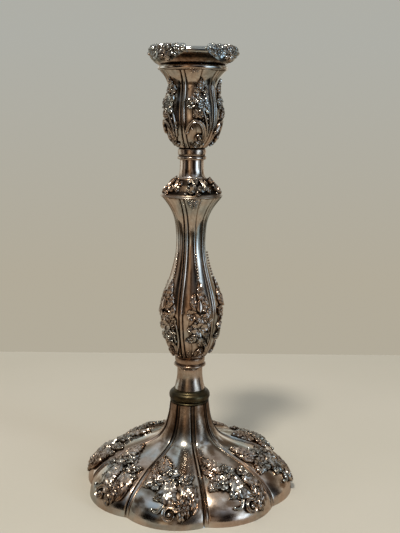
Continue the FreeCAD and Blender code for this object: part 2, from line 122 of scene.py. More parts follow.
class Form:
    """A surface round the axis: an outline of (radius, height), lobed or round, in millimetres.

    A place on it is its run, the distance along the outline, and its turn, in degrees from -Y
    towards +X. The outline runs up the outside, so that the normal points out.
    """

    def __init__(self, outline, lobes=0, first=0.0, cusp=1.0):
        self.outline = smooth(outline)
        steps = np.hypot(*np.diff(self.outline, axis=0).T)
        self.run = np.concatenate([[0], np.cumsum(steps)])
        self.length = self.run[-1]
        self.lobes = lobes
        self.first = first
        self.cusp = cusp

    def radius(self, run):
        return np.interp(run, self.run, self.outline[:, 0])

    def height(self, run):
        return np.interp(run, self.run, self.outline[:, 1])

    def run_at_height(self, height):
        return np.interp(height, self.outline[:, 1], self.run)

    def run_at_radius(self, radius):
        return np.interp(-np.asarray(radius), -self.outline[:, 0], self.run)

    def swell(self, turn):
        """How far the lobes reach at a turn, as a share of the radius at a lobe's crest."""
        if not self.lobes:
            return np.ones_like(np.asarray(turn, float))
        half = math.pi / self.lobes
        centre = (1 - self.cusp ** 2) / (2 * (1 - self.cusp * math.cos(half)))
        off = (np.radians(turn - self.first) + half) % (2 * half) - half
        return centre * np.cos(off) + np.sqrt((1 - centre) ** 2 - (centre * np.sin(off)) ** 2)

    def groove(self, run, turn):
        """Degrees from the middle of the lobe, and millimetres to the nearest groove."""
        half = 180 / self.lobes
        off = (turn - self.first + half) % (2 * half) - half
        return off, np.radians(half - np.abs(off)) * self.radius(run)

    def skin(self, run, turn):
        across = self.radius(run) * self.swell(turn)
        angle = np.radians(turn)
        return np.stack([across * np.sin(angle), -across * np.cos(angle), self.height(run)], axis=-1)

    def at(self, run, turn, lift=0.0):
        """Points at that lift above the surface."""
        run, turn, lift = np.broadcast_arrays(np.asarray(run, float), np.asarray(turn, float), lift)
        inside = np.clip(run, 0.1, self.length - 0.1)
        across = self.skin(inside, turn + 0.3) - self.skin(inside, turn - 0.3)
        along = self.skin(inside + 0.1, turn) - self.skin(inside - 0.1, turn)
        normal = np.cross(across, along)
        normal /= np.linalg.norm(normal, axis=-1, keepdims=True)
        return self.skin(run, turn) + normal * lift[..., None]

    def shift(self, spot, right, up):
        """The place that lies so many millimetres to the right of a place and further up the run."""
        run, turn = spot
        return run + up, turn + np.degrees(right / self.radius(run))


def shell_form(sections, node, lobes, first, cusp, low=None, widest=None):
    """The form of a packed lobed shell."""
    bottom, top = span(node)
    bottom = bottom if low is None else low
    widest = widest or reach(node) / sections[-1][1]
    return Form([(share * widest, bottom + up * (top - bottom)) for up, share in sections],
                lobes, first, cusp)


# ---------------------------------------------------------------- meshes

def new_piece(name, points, faces, body, nodes, material):
    """A mesh piece that rides on a body and stands for CAD nodes. Points are in millimetres."""
    mesh = bpy.data.meshes.new(name)
    mesh.from_pydata((np.asarray(points) * MM).tolist(), [], faces)
    mesh.update()
    return add_piece(name, mesh, body, nodes, material)


def add_piece(name, mesh, body, nodes, material):
    piece = bpy.data.objects.new(name, mesh)
    bpy.context.scene.collection.objects.link(piece)
    if not mesh.materials:
        mesh.materials.append(material)
    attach(piece, body)
    if nodes:
        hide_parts(*nodes)
    return piece


def outward(piece):
    """Turn each closed island's faces outwards, and smooth them."""
    shape = bmesh.new()
    shape.from_mesh(piece.data)
    bmesh.ops.recalc_face_normals(shape, faces=shape.faces)
    shape.to_mesh(piece.data)
    shape.free()
    soften(piece)


def soften(piece, angle=50):
    piece.data.shade_smooth()
    piece.data.set_sharp_from_angle(angle=math.radians(angle))


def ring_faces(rows, columns, closed=False):
    """Quads of a grid that closes on itself across, and along its rows too if it is closed."""
    faces = []
    for row in range(rows if closed else rows - 1):
        low = row * columns
        high = (row + 1) % rows * columns
        for column in range(columns):
            after = (column + 1) % columns
            faces.append((low + column, low + after, high + after, high + column))
    return faces



def turned_piece(name, outline, node, body, material):
    """A closed turned piece. Its outline is runs of (radius, level), each smooth, as shares of the
    node's own reach and height; where two runs meet there is a corner."""
    bottom, top = span(node)
    widest = reach(node)
    rows = []
    for run in outline:
        curve = smooth([(widest * across, bottom + up * (top - bottom)) for across, up in run], 8)
        rows.extend(curve[:-1] if len(run) > 2 else [curve[0]])
    rows = np.array(rows)
    turns = np.radians(np.arange(TURNED_COLUMNS) * 360 / TURNED_COLUMNS)
    points = np.stack([rows[:, :1] * np.sin(turns), -rows[:, :1] * np.cos(turns),
                       np.repeat(rows[:, 1:], TURNED_COLUMNS, axis=1)], axis=-1).reshape(-1, 3)
    faces = ring_faces(len(rows), TURNED_COLUMNS, closed=True)
    piece = new_piece(name, points, faces, body, [node], material)
    outward(piece)
    return piece


def lobe_turns(lobes, first, near_cusp, near_crest):
    """Column turns round a form, close together at the grooves and at the crests."""
    half = 180 / lobes
    side = sorted({round(half - off, 4) for off in near_cusp} | set(near_crest))
    sector = [-turn for turn in reversed(side) if turn > 0] + side[:-1]
    return np.array([first + lobe * 2 * half + turn for lobe in range(lobes) for turn in sector])


def shell_piece(name, form, runs, turns, carve, nodes, material):
    """A shell's outer skin with what is chased into it, its inner wall and the edges between."""
    run, turn = np.meshgrid(runs, turns, indexing="ij")
    outer = form.at(run, turn, carve(form, run, turn))
    inner = form.at(run[::-4], turn[::-4], -SHELL_THICK)
    points = np.concatenate([outer, inner]).reshape(-1, 3)
    points[:, 2] = np.maximum(points[:, 2], form.height(0))
    columns = len(turns)
    faces = ring_faces(len(outer) + len(inner), columns, closed=True)
    piece = new_piece(name, points, faces, "stick", nodes, material)
    piece["columns"] = columns
    outward(piece)
    # How deep the skin is carved is stored as the attribute lines; the silver paints shade and tarnish into
    # the carved lines with it.
    lines = np.zeros(len(points))
    lines[:outer.shape[0] * columns] = np.clip(-carve(form, run, turn), 0, None).ravel()
    attribute = piece.data.attributes.new("lines", "FLOAT", "POINT")
    attribute.data.foreach_set("value", lines)
    return piece


# ---------------------------------------------------------------- relief

def leaf_shape(across, along, veins=5):
    """A leaf's height over its own width and length, both as shares."""
    rise = 0.45 + 0.55 * np.cos(across * math.pi / 2)
    rise = rise * (0.55 + 0.45 * np.sin(math.pi * along))
    rise = rise - 0.34 * np.exp(-(across / 0.13) ** 2)
    ripple = np.cos(2 * math.pi * (veins * along - 1.2 * np.abs(across)))
    return rise + 0.24 * ripple * np.clip(np.abs(across) * 3, 0, 1)


def petal_shape(across, along):
    """A petal that cups up towards its outer edge, with a crease down the middle."""
    return (0.30 + 0.75 * along ** 1.2 - 0.42 * np.exp(-(across / 0.20) ** 2) * (1 - 0.2 * along)
            + 0.30 * across ** 2 * along - 0.35 * np.clip(along - 0.8, 0, 1) * 5 * across ** 2)


def scroll_shape(across, along):
    """A band with raised edges and a hollow middle."""
    return 0.55 + 0.45 * np.abs(across) ** 1.5 - 0.25 * (np.abs(across) > 0.95)


def stem_shape(across, along):
    return np.sqrt(np.clip(1 - across ** 2, 0, 1)) * 0.9 + 0.1


def pad_shape(across, along):
    return 0.6 + 0.4 * np.cos(across * math.pi / 2)


def leaf_width(along, teeth=5):
    return (np.sin(math.pi * np.clip(along, 0, 1) ** 0.8) ** 0.8
            * (1 + 0.13 * np.cos(2 * math.pi * teeth * along)) + 0.03)


def petal_width(along):
    return 0.28 + 0.78 * np.sin(math.pi * np.clip(along * 0.86, 0, 1) ** 1.15)


def bulge(most, start, part):
    """The width of a pad that is widest near its middle."""
    return lambda along: 0.15 + most * np.sin(math.pi * (start + part * along))


def taper(start, end):
    """A width that goes evenly from one share to another, rounded off at the tip."""
    def width(along):
        return (start + (end - start) * along) * np.clip((1.02 - along) * 9, 0.2, 1) ** 0.5
    return width


def enclosed(loops):
    """The volume inside a row of closed loops, below 0 if their winding faces inwards."""
    loops = loops - loops.reshape(-1, 3).mean(axis=0)
    here = loops[:-1]
    there = loops[1:]
    here_next = np.roll(here, -1, axis=1)
    there_next = np.roll(there, -1, axis=1)
    sides = np.sum(here * np.cross(here_next, there_next)) + np.sum(here * np.cross(there_next, there))
    ends = 0.0
    for loop, sign in ((loops[0], -1), (loops[-1], 1)):
        ends += sign * np.sum(loop[0] * np.cross(loop[1:-1], loop[2:]))
    return float(sides + ends) / 6


class Relief:
    """Ornament laid on a form: leaves, flowers, scrolls, stems and beads, gathered in one mesh.

    Its lists give places as (level, turn); spot turns such a pair into a place on the form.
    """

    SINK = 0.45

    def __init__(self, form, spot):
        self.form = form
        self.spot = spot
        self.points = []
        self.faces = []

    def loft(self, loops):
        """Join closed loops of points one after the other, close both ends, and face outwards."""
        start = sum(len(block) for block in self.points)
        if enclosed(loops) < 0:
            loops = loops[:, ::-1]
        count, around = loops.shape[:2]
        self.points.append(loops.reshape(-1, 3))
        for face in ring_faces(count, around):
            self.faces.append(tuple(start + corner for corner in face))
        self.faces.append(tuple(range(start + around - 1, start - 1, -1)))
        last = start + (count - 1) * around
        self.faces.append(tuple(range(last, last + around)))

    def blade(self, spots, width, rise, shape, outline, lift=0.0, tip_lift=None, steps=12, across=9,
              crumple=0.02):
        """A strip that follows spots, (run, turn) pairs, standing on the form."""
        path = smooth(spots, 8)
        run = path[:, 0]
        right = np.radians(path[:, 1] - path[0, 1]) * self.form.radius(run)
        length = np.concatenate([[0], np.cumsum(np.hypot(np.diff(run), np.diff(right)))])
        even = np.linspace(0, length[-1], steps)
        run = np.interp(even, length, run)
        turn = np.interp(even, length, path[:, 1])
        along = even / length[-1]
        up = np.gradient(run, even)
        side = np.gradient(np.radians(turn), even) * self.form.radius(run)
        norm = np.hypot(up, side)
        up = up / norm
        side = side / norm
        over = np.linspace(-1, 1, across)
        half = 0.5 * width * outline(along)
        tip = lift if tip_lift is None else tip_lift
        height = rise * shape(over[None, :], along[:, None]) + (lift + (tip - lift) * along)[:, None]
        height = height + RNG.normal(0, crumple * rise, height.shape)
        over = np.concatenate([over, [1, -1]])
        height = np.concatenate([height, np.full((steps, 2), -self.SINK)], axis=1)
        reach_out = half[:, None] * over[None, :]
        runs = run[:, None] - reach_out * side[:, None]
        turns = turn[:, None] + np.degrees(reach_out * up[:, None] / self.form.radius(run)[:, None])
        self.loft(self.form.at(runs, turns, height))

    def leaves(self, *rows):
        """Leaves, each as a base, a tip and what leaf takes after them."""
        for base, tip, *shape in rows:
            self.leaf(self.spot(*base), self.spot(*tip), *shape)

    def flowers(self, *rows):
        """Flowers, each as a centre and what flower takes after it."""
        for centre, *shape in rows:
            self.flower(self.spot(*centre), *shape)

    def beads(self, lift, *rows):
        """Beads that share a lift, each as (level, turn, size)."""
        for level, turn, size in rows:
            self.bead(self.spot(level, turn), size, lift)

    def leaf(self, base, tip, width, rise, bend, lift, tip_lift, teeth=4):
        """A leaf from its base to its tip; bend bows it to the right, as a share of its length."""
        spots = self.bow(base, tip, bend)
        self.blade(spots, width, rise, leaf_shape, lambda along: leaf_width(along, teeth),
                   lift, tip_lift, steps=19, crumple=0.03)

    def bow(self, base, tip, bend):
        """Three places along a bowed line."""
        middle = ((base[0] + tip[0]) / 2, (base[1] + tip[1]) / 2)
        radius = float(self.form.radius(middle[0]))
        right = math.radians(tip[1] - base[1]) * radius
        up = tip[0] - base[0]
        return [base, self.form.shift(middle, bend * up, -bend * right), tip]

    def flower(self, centre, size, rise, lift, spin):
        """An open, slightly crumpled flower with cupped petals round a small eye."""
        for petal in range(PETALS):
            angle = math.radians(spin + petal * 360 / PETALS + RNG.normal(0, 7))
            far = size * (1 + RNG.normal(0, 0.11))
            start = self.form.shift(centre, 0.12 * size * math.sin(angle), 0.12 * size * math.cos(angle))
            end = self.form.shift(centre, far * math.sin(angle), far * math.cos(angle))
            self.blade([start, end], 0.98 * size, 0.72 * rise, petal_shape, petal_width,
                       0.8 * lift + 0.3 * (petal % 2), steps=9, crumple=0.13)
        self.bead(centre, 0.19 * size, lift + 0.35 * rise)

    def bead(self, centre, size, lift=0.0, around=10):
        """A round bead, half sunk at that lift."""
        rings = []
        for level in (-0.9, -0.3, 0.15, 0.5, 0.78, 0.96):
            wide = size * math.sqrt(1 - level ** 2) if level > -0.5 else size
            angle = np.arange(around) * 2 * math.pi / around
            run, turn = self.form.shift(centre, wide * np.sin(angle), wide * np.cos(angle))
            low = -self.SINK if level < -0.5 else lift + level * size
            rings.append(self.form.at(run, turn, low))
        self.loft(np.array(rings))

    def filler(self, spots, spread, count, size, lift):
        """Small leaves that point every way, scattered along spots under the rest."""
        path = smooth(spots, 8)
        for _ in range(count):
            along, right, heading, long = RNG.random(4)
            base = path[int(along * (len(path) - 1))]
            start = self.form.shift(base, (2 * right - 1) * spread, (2 * RNG.random() - 1) * 0.4 * spread)
            far = size * (0.7 + 0.6 * long)
            angle = 2 * math.pi * heading
            end = self.form.shift(start, far * math.sin(angle), far * math.cos(angle))
            self.blade(self.bow(start, end, 0.2 * (heading - 0.5)), 0.55 * far, 0.9, leaf_shape,
                       lambda share: leaf_width(share, 3), lift + 0.4 * right, steps=7, across=5)

    def bud(self, base, tip, width, rise, lift):
        """A closed bud: a plump pointed oval with a seam."""
        self.blade([base, tip], width, rise, stem_shape,
                   lambda along: np.sin(math.pi * along ** 0.75) ** 0.7 + 0.05, lift, steps=9)

    def stem(self, spots, width, rise, lift, ends):
        self.blade(spots, width, rise, stem_shape, taper(*ends), lift, steps=5 * len(spots), across=7)

    def scroll(self, spots, width, rise, lift, ends):
        self.blade(spots, width, rise, scroll_shape, taper(*ends), lift, steps=6 * len(spots))

    def volute(self, centre, size, start, coils, width, hand, rise, lift, lead):
        """A scroll that winds in on an eye, from a heading at its outer end; hand 1 turns clockwise."""
        angles = np.radians(start + hand * np.linspace(0, 360 * coils, int(9 * coils) + 2))
        sizes = np.linspace(size, 0.25 * size, len(angles))
        spots = [self.form.shift(centre, far * math.sin(angle), far * math.cos(angle))
                 for far, angle in zip(sizes, angles)]
        self.blade(lead + spots, width, rise, scroll_shape, taper(1.0, 0.6), lift,
                   steps=5 * len(spots) + 4 * len(lead))
        self.bead(centre, 0.30 * size, lift + 0.5 * rise)

    def piece(self, name, body, nodes, material):
        points = np.concatenate(self.points)
        piece = new_piece(name, points, self.faces, body, nodes, material)
        soften(piece)
        return piece


def repeat(first, name, count, node, body):
    """Copies of a piece round the axis that share its mesh, each for its own CAD node."""
    pieces = [first]
    for index in range(1, count):
        copy = add_piece(f"{name}_{index + 1}", first.data, body,
                         [f"{node}_{index + 1}"] if node else [], None)
        copy.rotation_euler = (0, 0, math.radians(index * 360 / count))
        pieces.append(copy)
    return pieces


# ---------------------------------------------------------------- foot

def foot_carving(form, run, turn):
    """Ribs in the grooves between the lobes, with a sunk line on each side, which the silver darkens with
    painted shade and tarnish.
    """
    off, gap = form.groove(run, turn)
    up = run / form.length
    wide = 0.52 + 0.16 * (1 - up)
    rib = 0.85 * np.exp(-(gap / (0.75 * wide)) ** 2)
    side = np.where(off > 0, 0.62, 0.34)
    line = -side * np.exp(-((gap - 1.9 * wide) / (0.6 * wide)) ** 2)
    fade = np.clip(run / 2.5, 0, 1)
    return (rib + line) * fade


def make_foot(silver, mounts):
    widest = reach("foot_rim_band")
    low, _ = span("foot_rim_band")
    form = shell_form(FOOT_SECTIONS, "foot_shell", LOBES, FOOT_TURN, FOOT_CUSP, low, widest)
    turns = lobe_turns(LOBES, FOOT_TURN, (0, 0.3, 0.6, 0.9, 1.2, 1.6, 2, 2.6, 3.3, 4.2, 5.2, 6.5, 8, 10),
                       (0, 3, 6, 9, 11))
    runs = np.concatenate([np.linspace(0, 6, 9), np.linspace(6.8, form.length, 120)])
    shell = shell_piece("foot_lobes", form, runs, turns, foot_carving,
                        ["foot_shell", "foot_rim_band"], silver)
    spray = foot_spray(form, mounts)
    return [shell], repeat(spray, "foot_spray", LOBES, "base_spray", "stick")


def foot_spray(form, material):
    """The spray on one lobe: levels are distances from the axis, turns are from the lobe's middle."""
    def at(level, turn):
        return float(form.run_at_radius(level)), FOOT_TURN + turn

    relief = Relief(form, at)
    relief.blade([at(33, -15), at(42, -6), at(50, 3), at(56, 10), at(62, 13)], 17, 0.75, pad_shape,
                 bulge(0.95, 0.1, 0.86), steps=22, across=13)
    # leaves that climb into the left groove
    relief.leaves(((44, -7), (29.0, -16), 8.6, 2.1, 0.06, 0.9, 0.3, 6),
        ((45, -10), (35.5, -19.5), 5.0, 1.6, -0.12, 0.5, 0.2),
        ((43, -4), (37, 1.5), 5.0, 1.6, 0.15, 0.6, 0.3))
    # leaves round the flowers
    relief.leaves(((50, -9), (53.5, -19), 6.0, 1.7, 0.15, 0.7, 0.2),
        ((47, 10), (43.5, 17.5), 5.2, 1.6, -0.1, 0.7, 0.3), ((50, 12), (50, 19), 4.6, 1.5, 0.1, 0.5, 0.2),
        ((52, -2), (58, -8), 5.4, 1.8, -0.15, 0.8, 0.2), ((53, 1), (59.5, -1.5), 4.6, 1.6, 0.2, 0.6, 0.2))
    # leaves of the body, one over the other down to the rim
    relief.leaves(((46, 1), (60.8, 7.5), 9.6, 2.5, 0.20, 1.3, 0.4, 7),
        ((49, 7), (63.2, 14.5), 8.6, 2.2, -0.18, 1.1, 0.3, 8),
        ((55, 9), (64.3, 12.0), 6.0, 2.1, -0.05, 1.2, 0.1, 6),
        ((57, 5), (62.2, 9.5), 3.6, 1.8, -0.1, 0.9, 0.2))
    # flowers
    relief.flowers(((49.0, -10.0), 4.8, 1.6, 1.0, 20), ((43.6, -1.5), 4.2, 1.6, 1.1, 0),
        ((46.4, 10.6), 3.4, 1.5, 1.0, -25))
    relief.filler([at(36, -14), at(41, -8), at(46, -3), at(49, 5)], 5.0, 28, 2.8, 0.4)
    # stem along the right groove, hook and volute
    relief.scroll([at(49, 15.5), at(55, 17.2), at(60.5, 17.2), at(63.0, 15.0)], 2.2, 1.7, 0.4, (0.6, 1.0))
    relief.scroll([at(56.5, 3.5), at(58.2, 0.5), at(60.5, -1.2), at(62.6, -3.6), at(62.2, -6.6)],
                  2.3, 1.6, 0.3, (1.0, 0.55))
    relief.bead(at(62.0, -6.8), 1.0, 0.7)
    relief.volute(at(62.9, 3.0), 4.3, 60, 1.25, 2.6, -1, 2.3, 0.6, [at(55.0, 15.5), at(59.5, 11.0)])
    relief.leaves(((58.5, 9.5), (65.0, 10.0), 5.4, 1.9, 0.1, 0.9, 0.1, 4))
    # buds and berries between them
    relief.beads(1.2, (41.0, -12.5, 1.0), (40.5, -3.0, 1.1), (42.5, 4.5, 1.2), (51.8, -4.2, 1.1),
        (55.0, -2.6, 0.9), (47.5, -15.6, 0.9), (38.4, -8.2, 0.9))
    return relief.piece("foot_spray_1", "stick", ["base_spray_1"], material)


# ---------------------------------------------------------------- baluster and socket

def panel_carving(rib_wide, rib_high, line_deep, crease_from, crease_to):
    """Carving of a panelled form: a rib between two lines in each groove, a crease down each panel."""
    def carve(form, run, turn):
        off, gap = form.groove(run, turn)
        rib = rib_high * np.exp(-(gap / rib_wide) ** 4)
        line = -line_deep * np.exp(-((gap - 1.75 * rib_wide) / (0.6 * rib_wide)) ** 2)
        up = run / form.length
        shown = np.clip((up - crease_from) * 8, 0, 1) * np.clip((crease_to - up) * 8, 0, 1)
        crease = -0.32 * np.exp(-(np.radians(off) * form.radius(run) / 0.32) ** 2) * shown
        return rib + line + crease
    return carve


PANEL_NEAR_CUSP = (0, 1, 2, 3, 4, 5, 6, 7, 8, 9.2, 10.5, 12, 13.5, 15.5, 18, 21, 24)
PANEL_NEAR_CREST = (0, 0.7, 1.4, 2.2, 3.2, 4.5, 6, 8, 10)


def panelled(name, node, sections, cusp, steps, carve, silver):
    """A shell with five panels, and the form that its sprays are laid on."""
    form = shell_form(sections, node, PANELS, STEM_TURN, cusp)
    turns = lobe_turns(PANELS, STEM_TURN, PANEL_NEAR_CUSP, PANEL_NEAR_CREST)
    return form, shell_piece(name, form, np.linspace(0, form.length, steps), turns, carve, [node], silver)


def make_baluster(silver, mounts):
    form, shell = panelled("baluster_panels", "baluster_shell", BALUSTER_SECTIONS, BALUSTER_CUSP, 170,
                           panel_carving(0.72, 0.45, 0.55, 0.55, 1.1), silver)
    return [shell], repeat(baluster_spray(form, mounts), "belly_spray", PANELS, "baluster_spray", "stick")


def baluster_spray(form, material):
    """The spray on one panel of the belly: levels are heights above the baluster's foot."""
    bottom = float(form.height(0))

    def at(level, turn):
        return float(form.run_at_height(bottom + level)), STEM_TURN + 1.15 * turn

    relief = Relief(form, at)
    relief.blade([at(3, 3), at(10, 8), at(20, 3), at(30, 1), at(40, 2)], 13, 0.6, pad_shape,
                 bulge(0.9, 0.12, 0.85), steps=22, across=13)
    # top leaves on the crease, and the bead string above them
    relief.leaves(((34, 1), (49, 3), 4.2, 1.6, 0.05, 0.7, 0.2, 6),
        ((31, -2), (42, -8), 4.0, 1.5, -0.12, 0.6, 0.2), ((31, 4), (41, 12), 4.4, 1.5, 0.12, 0.6, 0.2),
        ((26, 7), (35, 20), 4.0, 1.4, 0.12, 0.5, 0.2))
    for step in range(9):
        relief.bead(at(50.5 + 1.7 * step, 3.4 - 0.25 * step), 0.78 - 0.03 * step, 0.35)
    relief.bud(at(31, 0), at(38, 0.5), 4.0, 1.7, 0.9)
    # flowers
    relief.flowers(((20.5, 0.5), 4.3, 1.3, 0.8, 12), ((29.0, -12.0), 3.2, 1.2, 0.7, 30),
        ((24.5, 17.0), 3.0, 1.2, 0.5, -10), ((27.5, 4.5), 2.4, 1.1, 0.9, 0))
    relief.filler([at(36, 1), at(28, -3), at(22, 4), at(16, 8), at(10, 8)], 4.4, 34, 2.3, 0.2)
    # leaves to the sides
    relief.leaves(((21, -8), (20.5, -20), 4.4, 1.6, -0.1, 0.6, 0.2),
        ((18, -4), (13, -24), 4.4, 1.6, -0.22, 0.6, 0.2, 5),
        ((19, 10), (14.5, 22), 4.4, 1.6, 0.15, 0.6, 0.2), ((16, 3), (9, 12), 4.8, 1.6, 0.1, 0.7, 0.3, 5),
        ((9, 6), (1.5, -9), 4.0, 1.5, -0.25, 0.5, 0.1), ((8, 10), (1.5, 14), 3.8, 1.5, 0.2, 0.5, 0.1))
    # scrolls and stems
    relief.scroll([at(14, -22), at(12.2, -14), at(13.6, -6), at(16.5, 0)], 1.9, 1.3, 0.3, (0.6, 1.0))
    relief.scroll([at(13, 3), at(11.6, 10), at(8.6, 18), at(5.0, 20)], 2.3, 1.4, 0.4, (1.0, 0.6))
    relief.stem([at(25, 22), at(19, 25), at(12, 25.5), at(6, 21)], 1.3, 1.2, 0.2, (0.7, 1.0))
    relief.stem([at(23, 14), at(17, 19), at(11, 20)], 1.1, 1.1, 0.4, (0.7, 1.0))
    relief.volute(at(5.2, 6.0), 3.3, 90, 1.2, 1.7, 1, 1.5, 0.4, [at(9.5, 18), at(6.5, 19)])
    relief.beads(1.0, (26.4, -3.0, 0.8), (25.5, 9.5, 0.9), (24.6, -6.6, 0.8), (16.2, 11.0, 0.8),
        (15.0, -3.0, 0.8), (31.5, 9.0, 0.8), (33.6, -7.0, 0.7), (10.4, 2.0, 0.8), (27.5, 12.8, 0.8),
        (3.2, 15.0, 0.8), (2.2, 2.0, 0.9), (20.6, 12.0, 0.7))
    return relief.piece("belly_spray_1", "stick", ["baluster_spray_1"], material)


def make_socket(silver, mounts):
    form, shell = panelled("socket_panels", "socket_shell", SOCKET_SECTIONS, SOCKET_CUSP, 96,
                           panel_carving(0.72, 0.4, 0.5, 0.62, 1.1), silver)
    return [shell], repeat(socket_spray(form, mounts), "urn_spray", PANELS, "socket_spray", "stick")


def socket_spray(form, material):
    """The spray on one panel of the socket: levels are heights above the socket's foot."""
    bottom = float(form.height(0))

    def at(level, turn):
        return float(form.run_at_height(bottom + level)), STEM_TURN + turn

    relief = Relief(form, at)
    relief.blade([at(8, 3), at(14, 6), at(22, 2), at(30, 0), at(35, 1)], 10, 0.5, pad_shape,
                 bulge(0.9, 0.12, 0.85), steps=20, across=13)
    # trefoil at the top
    relief.leaves(((31, 1), (40, 2), 4.0, 1.5, 0.0, 0.7, 0.2),
        ((31, 0), (35.5, -10), 3.4, 1.4, -0.15, 0.6, 0.2), ((31, 3), (35.0, 14), 3.4, 1.4, 0.15, 0.6, 0.2))
    # flowers and buds
    relief.flowers(((28.0, -6.0), 3.2, 1.1, 0.6, 15), ((24.0, 6.0), 3.2, 1.1, 0.7, -8),
        ((25.0, -17.5), 2.4, 1.0, 0.4, 40))
    relief.filler([at(34, 0), at(29, -1), at(23, 2), at(16, 6), at(10, 6)], 3.8, 28, 2.1, 0.1)
    relief.bud(at(26, 8), at(29.5, 15), 2.8, 1.6, 0.7)
    relief.bud(at(21, 8), at(20.5, 17), 2.8, 1.6, 0.6)
    # leaves
    relief.leaves(((25, -12), (27.0, -29), 4.2, 1.5, 0.1, 0.6, 0.2),
        ((22, -4), (17.5, -15), 4.0, 1.5, -0.1, 0.7, 0.3), ((23, 0), (16.5, 4), 3.6, 1.5, 0.15, 0.8, 0.4))
    # long stems that sweep down the right
    relief.stem([at(22, 2), at(18, 8), at(13, 13), at(8, 15)], 1.5, 1.4, 0.4, (0.7, 1.0))
    relief.stem([at(24, 12), at(19, 17), at(13, 20), at(7, 19)], 1.2, 1.2, 0.3, (0.7, 1.0))
    # the big C-scroll, its inner curl and the bottom leaves
    relief.scroll([at(9.5, -28), at(13.5, -22), at(15.6, -12), at(14.4, 0), at(10.5, 8), at(6, 10)],
                  2.3, 1.6, 0.4, (0.6, 1.0))
    relief.bead(at(9.3, -27.5), 1.1, 0.6)
    relief.volute(at(6.4, 0.0), 3.2, 70, 1.1, 1.7, 1, 1.5, 0.4, [at(10.6, 7.5)])
    relief.leaves(((8, 2), (1.6, -14), 3.8, 1.4, -0.2, 0.4, 0.1),
        ((7, 8), (1.2, 8), 3.4, 1.4, 0.15, 0.4, 0.1))
    relief.beads(0.9, (30.5, -13.0, 0.8), (27.5, 1.5, 0.8), (21.4, -9.6, 0.8), (18.8, 1.0, 0.7),
        (30.0, 8.0, 0.7), (23.0, -22.0, 0.7), (16.9, 13.0, 0.7), (3.4, -4.0, 0.8), (11.4, -17.0, 0.7),
        (3.0, 14.0, 0.8))
    return relief.piece("urn_spray_1", "stick", ["socket_spray_1"], material)


# ---------------------------------------------------------------- turned pieces

def make_turned(silver, worn):
    """The plain rings and necks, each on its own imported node."""
    rows = (
        ("foot_knop", "foot_collar", worn, "worn_plate", (
            ((0.30, 0.0), (0.93, 0.0)), ((0.93, 0.0), (0.955, 0.07), (0.93, 0.15)),
            ((0.93, 0.15), (0.90, 0.20)), ((0.90, 0.20), (0.955, 0.29), (0.995, 0.47), (1.0, 0.66),
                                           (0.98, 0.86), (0.92, 1.02), (0.85, 1.10)),
            ((0.85, 1.10), (0.80, 1.20), (0.765, 1.36)), ((0.765, 1.36), (0.30, 1.36)),
            ((0.30, 1.36), (0.30, 0.0)))),
        ("lower_spool", "lower_neck", silver, "silver_plate", (
            ((0.25, 0.1), (0.80, 0.1)),
            ((0.80, 0.1), (0.775, 0.17), (0.735, 0.28), (0.695, 0.42), (0.662, 0.58), (0.65, 0.75),
             (0.65, 0.90)), ((0.65, 0.90), (0.70, 0.97), (0.76, 1.0)), ((0.76, 1.0), (0.25, 1.0)),
            ((0.25, 1.0), (0.25, 0.1)))),
        ("cup_ring", "lower_ring", silver, "silver_plate", (
            ((0.3, 0.0), (0.86, 0.0)), ((0.86, 0.0), (0.93, 0.03), (0.955, 0.10), (0.93, 0.17),
                                        (0.85, 0.21)),
            ((0.85, 0.21), (0.835, 0.25)), ((0.835, 0.25), (0.87, 0.40), (0.885, 0.58), (0.88, 0.76),
                                            (0.86, 0.84)),
            ((0.86, 0.84), (0.93, 0.90), (1.0, 1.0)), ((1.0, 1.0), (0.3, 1.0)),
            ((0.3, 1.0), (0.3, 0.0)))),
        ("shoulder_slope", "shoulder_cap", silver, "silver_plate", (
            ((0.93, 0.0), (1.0, 0.0)), ((1.0, 0.0), (1.008, 0.035), (0.985, 0.08)),
            ((0.965, 0.10), (0.905, 0.22), (0.80, 0.42), (0.675, 0.66), (0.55, 0.90), (0.506, 1.0)),
            ((0.506, 1.0), (0.25, 1.0)), ((0.25, 1.0), (0.25, 0.9)),
            ((0.25, 0.9), (0.47, 0.9)), ((0.47, 0.9), (0.93, 0.0)))),
        ("upper_spool", "upper_neck", silver, "silver_plate", (
            ((0.42, 0.0), (1.0, 0.0)),
            ((1.0, 0.0), (0.91, 0.08), (0.84, 0.20), (0.795, 0.34), (0.77, 0.50), (0.765, 0.75),
             (0.765, 1.0)), ((0.765, 1.0), (0.484, 1.0)), ((0.484, 1.0), (0.484, 0.0)))),
        ("urn_ring", "socket_ring", silver, "silver_plate", (
            ((0.05, 0.0), (0.90, 0.0)), ((0.90, 0.0), (0.985, 0.04), (1.01, 0.14), (0.985, 0.24),
                                         (0.91, 0.28)),
            ((0.91, 0.28), (0.90, 0.33)), ((0.90, 0.33), (0.965, 0.40), (0.985, 0.62), (0.965, 0.86),
                                           (0.88, 0.93)),
            ((0.88, 0.93), (0.93, 1.0)), ((0.93, 1.0), (0.05, 1.0)), ((0.05, 1.0), (0.05, 0.0)))),
        ("urn_lip", "socket_rim", silver, "silver_plate", (
            ((0.61, 0.5), (0.83, 0.5)), ((0.83, 0.5), (0.88, 0.0)), ((0.88, 0.0), (0.93, 0.0)),
            ((0.93, 0.0), (0.985, 0.18), (1.0, 0.48), (0.985, 0.80), (0.93, 1.0)),
            ((0.93, 1.0), (0.61, 1.0)), ((0.61, 1.0), (0.61, 0.5)))),
    )
    return [turned_piece(name, outline, node, "stick", material)
            for name, node, material, slot, outline in rows]


